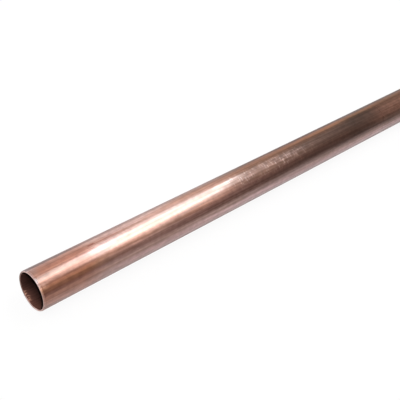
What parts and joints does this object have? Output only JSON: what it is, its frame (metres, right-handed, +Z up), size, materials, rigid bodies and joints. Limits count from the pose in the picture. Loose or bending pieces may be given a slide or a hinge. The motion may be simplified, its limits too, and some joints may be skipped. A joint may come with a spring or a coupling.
{
  "type": "copper pipe length",
  "caption": "Straight length of thin-walled round copper pipe, lying on its side, with an open bore and square ends whose outer edges are rolled in.",
  "frame": {"origin": "on the floor under the middle of the pipe", "axes": "+X along the pipe, away from the end that the picture shows; +Z up; the pipe's axis is at Y 0 and one outside radius above the floor"},
  "size_m": [1, 0.022, 0.022],
  "materials": {
    "copper": "bright drawn copper, lightly tarnished, with fine streaks along the pipe"
  },
  "bodies": {
    "root": {"copper_pipe": "copper"}
  },
  "joints": []
}
